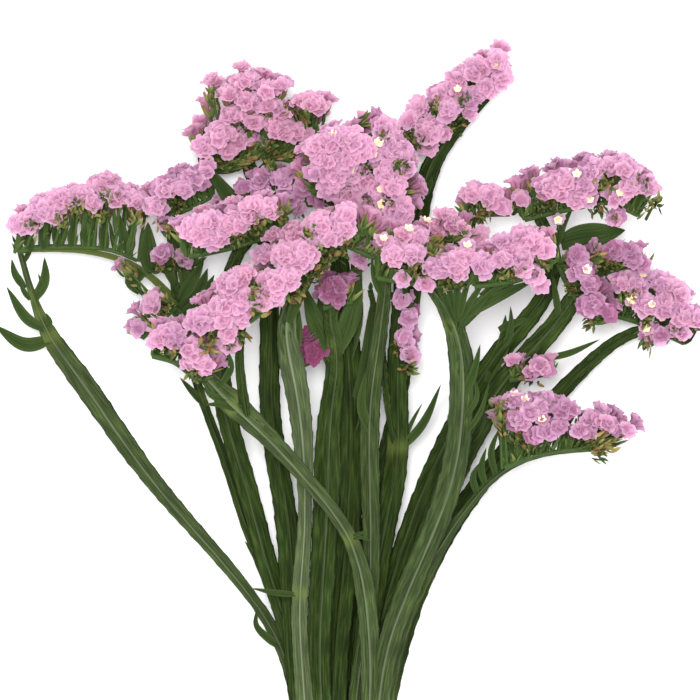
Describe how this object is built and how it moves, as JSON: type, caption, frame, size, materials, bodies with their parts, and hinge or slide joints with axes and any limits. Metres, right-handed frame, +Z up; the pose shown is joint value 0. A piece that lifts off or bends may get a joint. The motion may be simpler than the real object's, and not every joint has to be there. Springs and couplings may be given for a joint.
{
  "type": "bunch of statice flowers",
  "caption": "Tied bunch of statice lying down: winged green stems fan out to arching spikes of small papery pink flowers.",
  "frame": {"origin": "on the surface that the bunch lies on, under the middle of its box", "axes": "+Z up from the surface, +Y along the stems from their cut ends to the flowers, +X to the right seen from above"},
  "size_m": [0.4319, 0.5962, 0.1314],
  "materials": {
    "stem_green": "satin",
    "leaf_green": "satin",
    "petal_pink": "matte",
    "tie_straw": "matte"
  },
  "bodies": {
    "root": {"branch_behind_right": "stem_green", "branch_centre_thin": "stem_green", "branch_far_right": "stem_green", "branch_front_left": "stem_green", "branch_front_right": "stem_green", "branch_left_arch": "stem_green", "branch_left_low": "stem_green", "branch_upper_left": "stem_green", "flowers_band_left": "petal_pink", "flowers_band_right": "petal_pink", "flowers_centre": "petal_pink", "flowers_centre_low": "petal_pink", "flowers_far_right": "petal_pink", "flowers_front_diagonal": "petal_pink", "flowers_front_low": "petal_pink", "flowers_front_middle": "petal_pink", "flowers_front_upper": "petal_pink", "flowers_hanging": "petal_pink", "flowers_inner_left": "petal_pink", "flowers_left_arch": "petal_pink", "flowers_left_low": "petal_pink", "flowers_left_small": "petal_pink", "flowers_left_top": "petal_pink", "flowers_low_far": "petal_pink", "flowers_low_right": "petal_pink", "flowers_low_small": "petal_pink", "flowers_right_behind": "petal_pink", "flowers_right_inner": "petal_pink", "flowers_right_middle": "petal_pink", "flowers_right_small": "petal_pink", "flowers_right_top": "petal_pink", "flowers_top_left": "petal_pink", "flowers_top_low": "petal_pink", "flowers_top_right": "petal_pink", "flowers_top_spike": "petal_pink", "flowers_upper_left": "petal_pink", "flowers_upper_middle": "petal_pink", "leaf_centre_broad": "leaf_green", "leaf_curled": "leaf_green", "leaf_far_left_long": "leaf_green", "leaf_far_left_short": "leaf_green", "leaf_right_curved": "leaf_green", "leaf_right_large": "leaf_green", "stem_centre_back": "stem_green", "stem_centre_front": "stem_green", "stem_centre_right": "stem_green", "stem_far_left": "stem_green", "stem_far_right": "stem_green", "stem_front_diagonal": "stem_green", "stem_front_pale": "stem_green", "stem_left_inner": "stem_green", "stem_left_thin": "stem_green", "stem_left_wide": "stem_green", "stem_right_front": "stem_green", "stem_right_inner": "stem_green", "stem_right_low": "stem_green", "stem_right_tall": "stem_green", "stem_right_thick": "stem_green", "stem_top_right": "stem_green", "tie_band": "tie_straw"}
  },
  "joints": []
}
